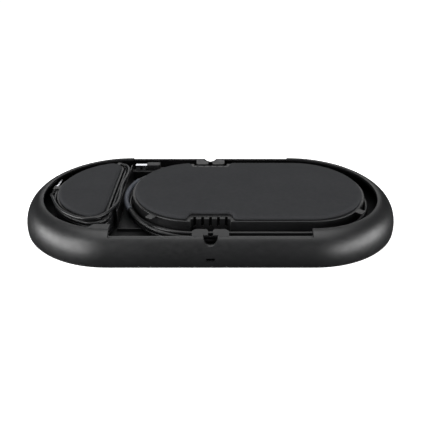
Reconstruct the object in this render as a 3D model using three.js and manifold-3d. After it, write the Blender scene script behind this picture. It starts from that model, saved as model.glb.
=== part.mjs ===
// Low desktop conference speakerphone, lying on its top face with the cable bay upwards.
// Millimetres, +Z up, +X along the body, the origin at the middle of the face it rests on.
import * as THREE from 'three';
import { mergeVertices } from 'three/addons/utils/BufferGeometryUtils.js';
import Module from 'manifold-3d';

const wasm = await Module();
wasm.setup();

// ---- Driving dimensions ----
const gap = 0.3;
const endX = 81.6;
const bodyRadius = 85.3;
const widestZ = 2.4;
const rimRadius = 68;
const rimZ = 26.1;
const wall = 2.2;
const lipZ = 22.4;
const lipHalfLength = 80.4;
const coverThickness = 1.6;
const floorTopZ = 7.2;
const floorThickness = 1.8;
const floorRadius = 81.2;
const ledgeZ = 25.6;
const padTopZ = 28.6;
const padBottomZ = ledgeZ + gap;
const padEdgeWidth = 3.4;
const padEdgeHeight = 2.3;
const hubBottomZ = floorTopZ + gap;
const hubPlate = 2.4;
const largeHubX = -13.7;
const largeHubRadius = 57;
const largePadRadius = 54.7;
const smallHubY = 1.2;
const smallHubRadius = 57.2;
const smallHubFlatX = -86.3;
const smallHubCorner = 11;
const smallPadRadius = 55.6;
const smallPadFlatX = -88.3;
const combHalfWidth = 16.3;
const combY = 52.6;
const combPitch = 6.5;
const combSlot = 2.3;
const usbDiameter = 3.4;
const usbTurnRadius = 59.7;
const usbPitch = 3.5;
const usbTurns = 3;
const auxDiameter = 2.8;
const auxPitch = 3.5;
const auxTurns = 5;
const circleSegments = 32;
const arcSegments = 16;
const rodSides = 16;
const thinRodSides = 10;
const keySides = 20;
const weldDistance = 1e-4;

// Cutting tools reach this far past the solids that they cut.
const over = 1;

// ---- Materials ----
function finish(colour, roughness, metalness) {
  return new THREE.MeshStandardMaterial({ color: colour, roughness, metalness });
}
const shellBlack = finish(0x17181a, 0.42, 0);
const trayBlack = finish(0x0d0e0f, 0.55, 0);
const padRubber = finish(0x353638, 0.85, 0);
const cableBlack = finish(0x141516, 0.5, 0);
const plugMetal = finish(0xc9cbd0, 0.25, 1);
const tagGrey = finish(0x6f7684, 0.6, 0);
const boardGreen = finish(0x1d4a33, 0.5, 0);
const chipBlack = finish(0x101010, 0.6, 0);
const grilleMetal = finish(0x26282b, 0.45, 1);
const coneBlack = finish(0x1b1b1c, 0.8, 0);
const magnetMetal = finish(0x8b8e92, 0.4, 1);
const lightClear = finish(0xd8e4ea, 0.3, 0);

// ---- Solids ----
function solidOf(geometry) {
  const bare = geometry.index ? geometry.toNonIndexed() : geometry.clone();
  bare.deleteAttribute('normal');
  bare.deleteAttribute('uv');
  const merged = mergeVertices(bare, weldDistance);
  const corners = Array.from(merged.index.array);
  const kept = [];
  for (let i = 0; i < corners.length; i += 3) {
    const [a, b, c] = corners.slice(i, i + 3);
    if (a !== b && b !== c && c !== a) kept.push(a, b, c);
  }
  return new wasm.Manifold(new wasm.Mesh({
    numProp: 3,
    vertProperties: new Float32Array(merged.attributes.position.array),
    triVerts: new Uint32Array(kept),
  }));
}

function joined(solids) {
  return solids.reduce((whole, piece) => whole.add(piece));
}

function cut(solid, tools) {
  return tools.reduce((rest, tool) => rest.subtract(tool), solid);
}

function box(lowX, highX, lowY, highY, lowZ, highZ) {
  const geometry = new THREE.BoxGeometry(highX - lowX, highY - lowY, highZ - lowZ);
  geometry.translate((lowX + highX) / 2, (lowY + highY) / 2, (lowZ + highZ) / 2);
  return solidOf(geometry);
}

function plate(shape, lowZ, highZ) {
  const geometry = new THREE.ExtrudeGeometry(shape, {
    depth: highZ - lowZ, bevelEnabled: false, curveSegments: arcSegments,
  });
  geometry.translate(0, 0, lowZ);
  return solidOf(geometry);
}

// A rubber pad: a plate whose upper edge is round, wider than it is high.
function pad(shape) {
  const geometry = new THREE.ExtrudeGeometry(shape, {
    depth: padTopZ - padBottomZ, bevelEnabled: true, bevelSegments: 3, curveSegments: arcSegments,
    bevelThickness: padEdgeHeight, bevelSize: padEdgeWidth, bevelOffset: -padEdgeWidth,
  });
  geometry.translate(0, 0, padBottomZ - padEdgeHeight);
  const reach = endX + bodyRadius;
  const lowestZ = padBottomZ - padEdgeHeight * 3;
  const below = box(-reach, reach, -bodyRadius, bodyRadius, lowestZ, padBottomZ);
  return solidOf(geometry).subtract(below);
}

function rod(x, y, radius, lowZ, highZ, sides = rodSides) {
  const geometry = new THREE.CylinderGeometry(radius, radius, highZ - lowZ, sides);
  geometry.rotateX(Math.PI / 2);
  geometry.translate(x, y, (lowZ + highZ) / 2);
  return solidOf(geometry);
}

// A turned piece about a vertical axis, from a list of [radius, height] points.
function turned(points, sides = circleSegments) {
  const profile = points.map(([radius, height]) => new THREE.Vector2(radius, height));
  const geometry = new THREE.LatheGeometry(profile, sides);
  geometry.rotateX(Math.PI / 2);
  return solidOf(geometry);
}

// ---- Outlines ----
function stadium(leftX, rightX, radius) {
  const shape = new THREE.Shape();
  shape.moveTo(leftX, -radius);
  shape.lineTo(rightX, -radius);
  shape.absarc(rightX, 0, radius, -Math.PI / 2, Math.PI / 2, false);
  shape.lineTo(leftX, radius);
  shape.absarc(leftX, 0, radius, Math.PI / 2, Math.PI * 1.5, false);
  return shape;
}

function polygon(points) {
  return new THREE.Shape(points.map(([x, y]) => new THREE.Vector2(x, y)));
}

// The D of the small hub: a large arc, a flat side towards +X and two round corners.
function dShape(radius, flatX, corner) {
  const middleX = flatX - corner;
  const middleY = Math.sqrt((radius - corner) ** 2 - (middleX + endX) ** 2);
  const turn = Math.atan2(middleY, middleX + endX);
  const shape = new THREE.Shape();
  shape.moveTo(flatX, smallHubY - middleY);
  shape.lineTo(flatX, smallHubY + middleY);
  shape.absarc(middleX, smallHubY + middleY, corner, 0, turn, false);
  shape.absarc(-endX, smallHubY, radius, turn, Math.PI * 2 - turn, false);
  shape.absarc(middleX, smallHubY - middleY, corner, -turn, 0, false);
  return shape;
}

// A stadium-shaped solid whose side follows a profile of [radius, height] points,
// given from the axis at the bottom, round the outside, to the axis at the top.
function stadiumSolid(points) {
  const end = turned(points);
  const half = points.filter(([radius]) => radius > 0);
  const mirrored = half.map(([radius, height]) => [-radius, height]).reverse();
  const section = new THREE.ExtrudeGeometry(polygon([...half, ...mirrored]), {
    depth: 2 * endX, bevelEnabled: false,
  });
  section.rotateX(Math.PI / 2);
  section.rotateZ(Math.PI / 2);
  section.translate(-endX, 0, 0);
  return joined([end.translate([-endX, 0, 0]), end.translate([endX, 0, 0]), solidOf(section)]);
}

function quarterEllipse(reach, height, lowZ, steps) {
  const points = [];
  for (let i = 0; i <= steps; i += 1) {
    const angle = (Math.PI / 2) * (i / steps);
    points.push([rimRadius + reach * Math.cos(angle), lowZ + height * Math.sin(angle)]);
  }
  return points;
}

// ---- The model ----
const model = new THREE.Group();

function add(name, solid, material) {
  const mesh = solid.getMesh();
  const geometry = new THREE.BufferGeometry();
  geometry.setAttribute('position', new THREE.BufferAttribute(new Float32Array(mesh.vertProperties), 3));
  geometry.setIndex(new THREE.BufferAttribute(new Uint32Array(mesh.triVerts), 1));
  const piece = new THREE.Mesh(geometry, material);
  piece.name = name;
  model.add(piece);
}

// ---- Outer shell: the curved skirt, its cut-down lips, hooks, notches and rim tab ----
const shellBottomZ = coverThickness + gap;
const bodyReach = bodyRadius - rimRadius;
const bodyHeight = rimZ - widestZ;
const skirtSteps = 8;
const insideSteps = 6;
const outside = stadiumSolid([
  [0, shellBottomZ], [bodyRadius, shellBottomZ],
  ...quarterEllipse(bodyReach, bodyHeight, widestZ, skirtSteps), [0, rimZ],
]);
const inside = stadiumSolid([
  [0, shellBottomZ - over], [bodyRadius - wall, shellBottomZ - over],
  ...quarterEllipse(bodyReach - wall, bodyHeight - wall, widestZ, insideSteps), [0, rimZ - wall],
]);
const rimOpening = plate(stadium(-endX, endX, rimRadius), rimZ - wall - over, rimZ + over);

const hookOuterX = 14.7;
const hookInnerX = 2;
const hookInnerY = 63;
const hookRootY = 74.5;
const hookCorner = 3;
const hookSmallCorner = 0.9;
const hookThickness = 2;
const notchRadius = 5.9;
const notchZ = 23.5;
const notchY = 76.8;
const notchLength = 9.6;
const notchSides = 24;

function hook(sideX, sideY) {
  const outline = polygon([
    [hookInnerX, hookInnerY + hookCorner / 2], [hookInnerX + hookCorner / 2, hookInnerY],
    [hookOuterX - hookCorner, hookInnerY],
    [hookOuterX - hookSmallCorner, hookInnerY + hookSmallCorner],
    [hookOuterX, hookInnerY + hookCorner], [hookOuterX, hookRootY], [hookInnerX, hookRootY],
  ].map(([x, y]) => [x * sideX, y * sideY]));
  return plate(outline, lipZ - hookThickness, lipZ);
}

function notch(sideY) {
  const hole = new THREE.CylinderGeometry(notchRadius, notchRadius, notchLength, notchSides);
  hole.translate(0, sideY * notchY, notchZ);
  return solidOf(hole);
}

// A tab at the left end of the front lip; its outer side follows the rim.
const tabInnerY = -61.1;
const rimTab = plate(polygon([
  [-98, -66.5], [-94, tabInnerY], [-lipHalfLength, tabInnerY], [-lipHalfLength, -68.5], [-89.5, -68.1],
]), rimZ - wall, rimZ);

const lockZ = 7.2;
const lockHalfWidth = 3.5;
const lockHalfHeight = 1.5;
const lockNearY = -90;
const lockFarY = -78;
const lipCutNearY = 60;
const lipCutFarY = 95;
const lips = [
  box(-lipHalfLength, lipHalfLength, -lipCutFarY, -lipCutNearY, lipZ, rimZ + over),
  box(-lipHalfLength, lipHalfLength, lipCutNearY, lipCutFarY, lipZ, rimZ + over),
];
const skirt = cut(outside, [inside, rimOpening]);
const hooks = [hook(1, 1), hook(-1, 1), hook(1, -1), hook(-1, -1)];
const lockHole = box(
  -lockHalfWidth, lockHalfWidth, lockNearY, lockFarY, lockZ - lockHalfHeight, lockZ + lockHalfHeight,
);
const shell = cut(skirt.add(rimTab), lips);
add('outer_shell', cut(joined([shell, ...hooks]), [notch(1), notch(-1), lockHole]), shellBlack);

// ---- Top cover, the face the unit lies on: posts, key holes, grille opening ----
const woofer = { x: 60, radius: 37, depth: 12.4 };
const tweeter = { x: 117, radius: 13.5, depth: 8 };
const grilleSeatRadius = 54.5;
const grilleSeatZ = 0.9;
const screwHeadRadius = 2.9;
const screwShaftRadius = 1.4;
const postRadius = 3.5;
const postTopZ = ledgeZ - hubPlate - gap;
const screwSpots = [
  [-30, 42], [-30, -42], [98, 42], [98, -42], [-118, smallHubY + 27], [-118, smallHubY - 27],
];
const keyX = -104;
const keys = [
  ['volume_down_key', -35, 5.5], ['answer_key', -18.5, 5.5], ['mute_key', 0, 8],
  ['hang_up_key', 18.5, 5.5], ['volume_up_key', 35, 5.5],
];
const keyFaceZ = 0.5;
const keyFlangeZ = coverThickness + gap;
const keyFlangeReach = 1.1;
const keyFlangeThickness = 0.7;
const keyStemRadius = 1.5;
const keyStemTopZ = 3.6;
const microphones = [
  ['front_microphone', 0, -75], ['back_microphone', 0, 75],
  ['left_microphone', -156, 0], ['right_microphone', 156, 0],
];
const microphoneHoleRadius = 0.8;
const lightX = -123;
const lightRadius = 1.4;
const lightFlangeReach = 1;
const chamfer = 0.6;
const pilotBottomZ = 12;
const speakerHoleShare = 0.8;

const coverPlate = stadiumSolid([
  [0, 0], [bodyRadius - chamfer, 0], [bodyRadius, chamfer], [bodyRadius, coverThickness],
  [0, coverThickness],
]);
const posts = screwSpots.map(([x, y]) => rod(x, y, postRadius, coverThickness / 2, postTopZ));
const pilotHoles = screwSpots.map(([x, y]) => (
  rod(x, y, screwShaftRadius + gap, pilotBottomZ, postTopZ + over, thinRodSides)
));
const speakerHoles = [woofer, tweeter].map(({ x, radius }) => (
  rod(x, 0, radius * speakerHoleShare, -over, coverThickness + over, circleSegments)
));
const keyHoles = keys.map(([, y, radius]) => (
  rod(keyX, y, radius + gap, -over, coverThickness + over, keySides)
));
const microphoneHoles = microphones.map(([, x, y]) => (
  rod(x, y, microphoneHoleRadius, -over, coverThickness + over, thinRodSides)
));
add('top_cover', cut(joined([coverPlate, ...posts]), [
  plate(stadium(largeHubX, endX, grilleSeatRadius), -over, grilleSeatZ),
  ...speakerHoles, ...pilotHoles, ...keyHoles, ...microphoneHoles,
  rod(lightX, 0, lightRadius + gap, -over, coverThickness + over),
]), shellBlack);

// ---- Speaker grille with rows of slots ----
const slotPitchX = 30;
const slotPitchY = 11;
const slotHalfLength = 13.2;
const slotHalfWidth = 1.2;
const slotRows = 3;
const slotColumns = 2;
function grilleSlots() {
  const slots = [];
  for (let row = -slotRows; row <= slotRows; row += 1) {
    for (let column = -slotColumns; column <= slotColumns; column += 1) {
      const x = (largeHubX + endX) / 2 + column * slotPitchX;
      const y = row * slotPitchY;
      slots.push(box(
        x - slotHalfLength, x + slotHalfLength, y - slotHalfWidth, y + slotHalfWidth,
        -over, grilleSeatZ + over,
      ));
    }
  }
  return slots;
}
const grillePlate = plate(
  stadium(largeHubX, endX, grilleSeatRadius - gap), 0, grilleSeatZ - gap / 2,
);
add('speaker_grille', cut(grillePlate, grilleSlots()), grilleMetal);

// ---- Push keys, key board and status light ----
for (const [name, y, radius] of keys) {
  const flangeTopZ = keyFlangeZ + keyFlangeThickness;
  const cap = rod(keyX, y, radius, keyFaceZ, flangeTopZ, keySides);
  const flange = rod(keyX, y, radius + keyFlangeReach, keyFlangeZ, flangeTopZ, keySides);
  const stem = rod(keyX, y, keyStemRadius, keyFlangeZ, keyStemTopZ, thinRodSides);
  add(name, joined([cap, flange, stem]), padRubber);
}
const keyBoardBottomZ = 4.7;
const keyBoardThickness = 1.3;
add('key_board', box(
  -110, -97.5, -39, 41, keyBoardBottomZ, keyBoardBottomZ + keyBoardThickness,
), boardGreen);
const lightFaceZ = 0.2;
const lightTopZ = 3;
add('status_light', joined([
  rod(lightX, 0, lightRadius, lightFaceZ, lightTopZ),
  rod(lightX, 0, lightRadius + lightFlangeReach, coverThickness + gap, lightTopZ),
]), lightClear);

// ---- Microphone boards ----
function blockAt(x, y, length, width, lowZ, highZ) {
  return box(x - length / 2, x + length / 2, y - width / 2, y + width / 2, lowZ, highZ);
}
const microphoneBoardTopZ = 3;
const microphoneTopZ = 4.2;
for (const [name, x, y] of microphones) {
  const board = blockAt(x, y, 8, 6, coverThickness + gap, microphoneBoardTopZ);
  const can = blockAt(x, y, 4, 3, coverThickness + gap, microphoneTopZ);
  add(name, joined([board, can]), boardGreen);
}

// ---- Cable tray: floor, raised platform, partition and plug rail ----
const partitionLeftX = -80.4;
const partitionRightX = -79.2;
const partitionTopZ = 24.3;
const platformZ = 10.3;
const root = 0.5;
const coilWay = stadium(largeHubX, endX, usbTurnRadius + usbDiameter / 2 + 0.6);
const trayFloor = plate(stadium(-endX, endX, floorRadius), floorTopZ - floorThickness, floorTopZ);
const platformBlock = box(partitionRightX - root, -30, -43, 50, floorTopZ - root, platformZ);
const platform = platformBlock.subtract(plate(coilWay, 0, platformZ + over));
const partitionOutline = polygon([
  [-40, floorTopZ - root], [57.5, floorTopZ - root], [57.5, partitionTopZ], [-36.5, partitionTopZ],
]);
const partitionSheet = new THREE.ExtrudeGeometry(partitionOutline, {
  depth: partitionRightX - partitionLeftX, bevelEnabled: false,
});
partitionSheet.rotateX(Math.PI / 2);
partitionSheet.rotateZ(Math.PI / 2);
partitionSheet.translate(partitionLeftX, 0, 0);
const railTopZ = 16.7;
const railBack = box(-83, -46, 57.3, 61.4, floorTopZ - root, railTopZ)
  .subtract(plate(coilWay, 0, railTopZ + over));
const railSeat = box(-83, -67, 61, 63.2, floorTopZ - root, railTopZ);
const trayHoleRadius = 50;
const trayHoleFlatX = -91;
const trayHoleCorner = 8;
add('cable_tray', cut(joined([trayFloor, platform, solidOf(partitionSheet), railBack, railSeat]), [
  plate(stadium(largeHubX, endX, trayHoleRadius), 0, floorTopZ + over),
  plate(dShape(trayHoleRadius, trayHoleFlatX, trayHoleCorner), 0, floorTopZ + over),
  box(-8, 8, lockNearY, lockFarY + over, 0, floorTopZ + over),
]), trayBlack);

// ---- Hubs: open-bottomed cups that the leads wind round ----
const nubThickness = 0.8;
const nubDrop = 0.1;
const nubOuter = 63.4;
const nubRoot = 1.9;
const largeNubHalfWidth = 3.4;
const smallNubHalfWidth = 2.6;
const cornerNubOuter = 16;
const screwSeatDepth = 1.4;

function nub(centreX, centreY, degrees, inner, outer, halfWidth) {
  const arm = new THREE.BoxGeometry(outer - inner, halfWidth * 2, nubThickness);
  arm.translate((outer + inner) / 2, 0, ledgeZ - nubDrop - nubThickness / 2);
  arm.rotateZ(THREE.MathUtils.degToRad(degrees));
  arm.translate(centreX, centreY, 0);
  return solidOf(arm);
}

function screwSeats(spots) {
  return spots.flatMap(([x, y]) => [
    rod(x, y, screwShaftRadius + gap, 0, ledgeZ + over, thinRodSides),
    rod(x, y, screwHeadRadius + gap, ledgeZ - screwSeatDepth, ledgeZ + over),
  ]);
}

const combDepth = 3.2;
const combHeight = 8;
const combWall = 5.4;
const combPlaces = [-2, -1, 0, 1, 2];

// A block on the front or the back side of the large hub, from a distance outwards.
function sideBlock(sideY, nearY, lowX, highX, lowZ) {
  const farY = largeHubRadius + over;
  const [lowY, highY] = sideY > 0 ? [nearY, farY] : [-farY, -nearY];
  return box(lowX, highX, lowY, highY, lowZ, ledgeZ + over);
}

function combRecess(sideY, inset) {
  const halfWidth = combHalfWidth + inset / 2;
  return sideBlock(sideY, combY - inset, -halfWidth, halfWidth, 0);
}

function combSlots(sideY) {
  return combPlaces.map((place) => {
    const x = place * combPitch;
    return sideBlock(sideY, combY - combDepth, x - combSlot / 2, x + combSlot / 2, ledgeZ - combHeight);
  });
}

// A lead leaves its hub through a notch at the foot of the hub's wall, held by a grommet.
const grommetLip = 0.5;
const grommetSink = 0.1;
const grommetTopZ = 12.4;
const usbGrommet = {
  lowX: 25, highX: 33, lowY: largeHubRadius - wall - grommetLip, highY: largeHubRadius - grommetSink,
};
const auxGrommet = {
  lowX: smallHubFlatX - wall - grommetLip, highX: smallHubFlatX - grommetSink, lowY: 6, highY: 13,
};

function grommet(at) {
  return box(at.lowX, at.highX, at.lowY, at.highY, hubBottomZ + gap, grommetTopZ);
}

function grommetNotch(at) {
  return box(at.lowX - gap, at.highX + gap, at.lowY - gap, at.highY + gap, 0, grommetTopZ + gap);
}

const largeOutside = joined([
  plate(stadium(largeHubX, endX, largeHubRadius), hubBottomZ, ledgeZ),
  nub(largeHubX, 0, 233.5, largeHubRadius - nubRoot, nubOuter, largeNubHalfWidth),
  nub(endX, 0, -42, largeHubRadius - nubRoot, nubOuter, largeNubHalfWidth),
]);
const largeCavity = plate(stadium(largeHubX, endX, largeHubRadius - wall), 0, ledgeZ - hubPlate)
  .subtract(joined([combRecess(1, combWall), combRecess(-1, combWall)]));
add('large_hub', cut(largeOutside, [
  combRecess(1, 0), combRecess(-1, 0), largeCavity, grommetNotch(usbGrommet),
  ...combSlots(1), ...combSlots(-1), ...screwSeats(screwSpots.slice(0, 4)),
]), trayBlack);

const cornerX = smallHubFlatX - smallHubCorner;
const cornerY = Math.sqrt((smallHubRadius - smallHubCorner) ** 2 - (cornerX + endX) ** 2);
const smallOutside = joined([
  plate(dShape(smallHubRadius, smallHubFlatX, smallHubCorner), hubBottomZ, ledgeZ),
  nub(-endX, smallHubY, 177, smallHubRadius - nubRoot, nubOuter, smallNubHalfWidth),
  nub(cornerX, smallHubY - cornerY, -36, smallHubCorner - nubRoot, cornerNubOuter, smallNubHalfWidth),
  nub(cornerX, smallHubY + cornerY, 70, smallHubCorner - nubRoot, cornerNubOuter, smallNubHalfWidth),
]);
const smallCavity = plate(
  dShape(smallHubRadius - wall, smallHubFlatX - wall, smallHubCorner - wall), 0, ledgeZ - hubPlate,
);
add('small_hub', cut(smallOutside, [
  smallCavity, grommetNotch(auxGrommet), ...screwSeats(screwSpots.slice(4)),
]), trayBlack);
add('usb_grommet', grommet(usbGrommet), padRubber);
add('aux_grommet', grommet(auxGrommet), padRubber);

const screwHeadTopZ = ledgeZ - 0.1;
const screwHeadHeight = 1;
const screwTipZ = 13;
screwSpots.forEach(([x, y], index) => {
  const head = rod(x, y, screwHeadRadius, screwHeadTopZ - screwHeadHeight, screwHeadTopZ);
  const shaft = rod(x, y, screwShaftRadius, screwTipZ, screwHeadTopZ, thinRodSides);
  add(`hub_screw_${index + 1}`, head.add(shaft), magnetMetal);
});

// ---- Rubber foot pads ----
const smallPadCorner = 9.8;
function padRecess(sideY) {
  return plate(polygon([
    [-20.5, 58], [-17.8, 47.3], [-15.8, 45.3], [15.8, 45.3], [17.8, 47.3], [20.5, 58],
  ].map(([x, y]) => [x, y * sideY])), 0, padTopZ + over);
}
const largePad = pad(stadium(largeHubX, endX, largePadRadius));
add('large_foot_pad', cut(largePad, [padRecess(1), padRecess(-1)]), padRubber);
add('small_foot_pad', pad(dShape(smallPadRadius, smallPadFlatX, smallPadCorner)), padRubber);

// ---- Security lock plate behind the front slot ----
add('lock_plate', box(-6.5, 6.5, -81, -79.6, 2.6, 9.6).subtract(lockHole), magnetMetal);

// ---- Loudspeakers inside the large hub ----
const speakerSides = 24;
const frameWall = 1.3;
const frameRingHeight = 1.8;
const coneThickness = 0.8;

function speaker(name, { x, radius, depth }) {
  const place = (points) => turned(points, speakerSides).translate([x, 0, 0]);
  const low = coverThickness + gap;
  const back = low + depth;
  const mouth = radius * 0.82;
  const shoulder = radius * 0.87;
  const throat = radius * 0.55;
  const magnetHole = throat * 0.6;
  add(`${name}_frame`, place([
    [mouth, low], [radius, low], [radius, low + frameRingHeight], [shoulder, low + frameRingHeight],
    [throat + frameWall, back], [magnetHole, back], [magnetHole, back - frameWall],
    [throat, back - frameWall], [mouth, low + frameWall], [mouth, low],
  ]), grilleMetal);
  const domeRadius = radius * 0.3;
  const domeZ = low + depth * 0.35;
  const coneRim = radius * 0.78;
  add(`${name}_cone`, place([
    [0, domeZ], [domeRadius, domeZ + gap], [coneRim, low + gap], [coneRim, low + gap + coneThickness],
    [domeRadius, domeZ + gap + 2 * coneThickness], [0, domeZ + 2 * coneThickness],
  ]), coneBlack);
  const magnetRadius = throat * 0.9;
  const magnetBottomZ = back + gap;
  const magnetTopZ = magnetBottomZ + depth / 2;
  add(`${name}_magnet`, place([
    [0, magnetBottomZ], [magnetRadius, magnetBottomZ], [magnetRadius, magnetTopZ], [0, magnetTopZ],
  ]), magnetMetal);
}
speaker('woofer', woofer);
speaker('tweeter', tweeter);

// ---- Electronics ----
const boardBottomZ = 5.8;
const boardTopZ = 7.4;
const chipZ = boardTopZ + gap;
const chipHeight = 1.4;
const canHeight = 3;
const capacitorRadius = 4;
const capacitorHeight = 11;
const capacitorY = 20;
const ribbonZ = 4.85;
const ribbonThickness = 0.25;
add('main_board', box(-50, 8, -31, 31, boardBottomZ, boardTopZ), boardGreen);
add('processor', blockAt(-29, 0, 14, 14, chipZ, chipZ + chipHeight), chipBlack);
add('shield_can', blockAt(-7, -13, 18, 18, chipZ, chipZ + canHeight), magnetMetal);
add('amplifier_chip', blockAt(-7.5, 10.5, 9, 9, chipZ, chipZ + chipHeight), chipBlack);
add('left_capacitor', rod(-42, capacitorY, capacitorRadius, chipZ, chipZ + capacitorHeight), chipBlack);
add('right_capacitor', rod(-30, capacitorY, capacitorRadius, chipZ, chipZ + capacitorHeight), chipBlack);
add('ribbon_cable', box(-97.2, -50.3, 4, 14, ribbonZ, ribbonZ + ribbonThickness), tagGrey);

// ---- Stowed leads ----
function ring(outer, hole, lowZ, highZ) {
  return plate(outer, lowZ, highZ).subtract(plate(hole, lowZ - over, highZ + over));
}

const tubeSides = 8;

// A round lead through a list of points.
function tube(points, diameter, steps) {
  const corners = Array.from({ length: tubeSides }, (_, i) => {
    const angle = (Math.PI * 2 * i) / tubeSides;
    return [(diameter / 2) * Math.cos(angle), (diameter / 2) * Math.sin(angle)];
  });
  const round = polygon(corners);
  const path = new THREE.CatmullRomCurve3(points.map(([x, y, z]) => new THREE.Vector3(x, y, z)));
  return solidOf(new THREE.ExtrudeGeometry(round, { extrudePath: path, steps, bevelEnabled: false }));
}

function alongY(profile, x, y, z) {
  const outline = profile.map(([radius, along]) => new THREE.Vector2(radius, along));
  const geometry = new THREE.LatheGeometry(outline, rodSides);
  geometry.translate(x, y, z);
  return solidOf(geometry);
}

function alongX(profile, x, y, z) {
  const outline = profile.map(([radius, along]) => new THREE.Vector2(radius, along));
  const geometry = new THREE.LatheGeometry(outline, rodSides);
  geometry.rotateZ(-Math.PI / 2);
  geometry.translate(x, y, z);
  return solidOf(geometry);
}

const coilBottomZ = floorTopZ + gap;
const coilSlack = 0.1;
const usbCoilTopZ = coilBottomZ + usbTurns * usbPitch;
add('usb_coil', ring(
  stadium(largeHubX, endX, usbTurnRadius + usbDiameter / 2 + coilSlack),
  stadium(largeHubX, endX, largeHubRadius + gap), coilBottomZ, usbCoilTopZ,
), cableBlack);

const usbPlugY = 65.7;
const usbPlugZ = 15;
const shellTipX = -77.5;
const shellBackX = -65.8;
const shellHalfWidth = 5.9;
const shellHalfHeight = 2.2;
const shellSheet = 0.4;
const bodyHalfWidth = 7.3;
const bodyHalfHeight = 3.7;
const reliefLength = 8;

// A block of the plug: it stands on edge, its wide side along Z.
function plugBlock(lowX, highX, nearY, farY, halfWidth) {
  return box(lowX, highX, usbPlugY + nearY, usbPlugY + farY, usbPlugZ - halfWidth, usbPlugZ + halfWidth);
}
add('usb_plug_shell', cut(
  plugBlock(shellTipX, shellBackX, -shellHalfHeight, shellHalfHeight, shellHalfWidth),
  [
    plugBlock(shellTipX - over, shellBackX - 2, shellSheet - shellHalfHeight, 0, shellHalfWidth - shellSheet),
    plugBlock(-72.6, -70.6, -shellHalfHeight - over, -over, 1.1),
  ],
), plugMetal);
add('usb_plug_body', plugBlock(-65.5, -52, -bodyHalfHeight, bodyHalfHeight, bodyHalfWidth), cableBlack);
add('usb_strain_relief', alongX([
  [0, 0], [3, 0], [2, reliefLength], [0, reliefLength],
], -51.7, usbPlugY, usbPlugZ), cableBlack);
add('usb_lead', tube([
  [-43.4, usbPlugY, usbPlugZ], [-38, usbPlugY, 15.6], [-32, 65.4, 17], [-26, 64, 18.8],
  [-20, 62, 20], [-14, 60.4, 20.2], [-8, 59.8, 20.2], [2, 59.7, 20.2], [12, 59.7, 20.2],
], usbDiameter, 18), cableBlack);
const tagRadius = 62.8;
const tagZ = 20.3;
const tagDiameter = 4.6;
const tagRoute = [152, 162, 172, 182, 192, 202, 207].map((degrees) => {
  const angle = THREE.MathUtils.degToRad(degrees);
  return [largeHubX + tagRadius * Math.cos(angle), tagRadius * Math.sin(angle), tagZ];
});
add('cable_tag', tube(tagRoute, tagDiameter, 14), tagGrey);

const auxInner = dShape(smallHubRadius + gap, smallHubFlatX + gap, smallHubCorner + gap);
const auxOuterCorner = 16;
const auxFlatReach = 5.1;
const auxOuter = dShape(
  smallHubRadius + gap + auxDiameter + coilSlack, smallHubFlatX + auxFlatReach, auxOuterCorner,
);
const auxCoilTopZ = coilBottomZ + auxTurns * auxPitch - 2 * gap;
add('aux_coil', ring(auxOuter, auxInner, coilBottomZ, auxCoilTopZ), cableBlack);

const auxPlugX = -144.9;
const auxPlugZ = 20.6;
const auxBootY = 0.8;
const auxBootLength = 11.4;
const auxCollarLength = 2.6;
const auxPinLength = 14.6;
const auxCollarY = auxBootY + auxBootLength + gap;
const auxPinY = auxCollarY + auxCollarLength + gap;
add('aux_plug_boot', alongY([
  [0, 0], [1.6, 0], [2.1, 3], [2.4, auxBootLength], [0, auxBootLength],
], auxPlugX, auxBootY, auxPlugZ), cableBlack);
add('aux_plug_collar', alongY([
  [0, 0], [2.4, 0], [2.2, auxCollarLength], [0, auxCollarLength],
], auxPlugX, auxCollarY, auxPlugZ), plugMetal);
add('aux_plug_pin', alongY([
  [0, 0], [1.75, 0], [1.75, 11], [1.35, 11.6], [1.7, 12.6], [0.7, auxPinLength], [0, auxPinLength],
], auxPlugX, auxPinY, auxPlugZ), plugMetal);
add('aux_lead', tube([
  [-88.2, 52.6, 26.3], [-84.2, 50.2, 26.3], [-81.2, 44, 26.3], [-80.2, 36.8, 26.3],
  [-80.4, 26.6, 26.3], [-81.5, 15.6, 26.3], [-81.8, 5, 26.3], [-81.1, -5, 26.3],
  [-80.2, -19.4, 26.3], [-80.8, -28, 26.3], [-82.8, -36.4, 26.6], [-85.2, -43, 27],
  [-88.6, -48.9, 27.15], [-94.1, -53.4, 27.15], [-102.2, -54.6, 27.15], [-108.2, -53, 27.15],
  [-113.9, -50, 27.15], [-119.8, -45.8, 27.2], [-124.6, -41, 27], [-130, -33.8, 26.6],
  [-134.9, -25.4, 26.3], [-138.8, -17.4, 26.1], [-142.5, -10.2, 25.1], [-144.3, -4.4, 22.4],
  [-144.9, -1.2, 20.9], [-144.9, 0.4, 20.6],
], auxDiameter, 56), cableBlack);

export default model;
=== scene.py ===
"""The looks of a desktop conference speakerphone that lies on its top face with its cable bay upwards.

Shapes are given in millimetres and become metres where a mesh is made. Cord routes are in metres.
"""

import math

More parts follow.
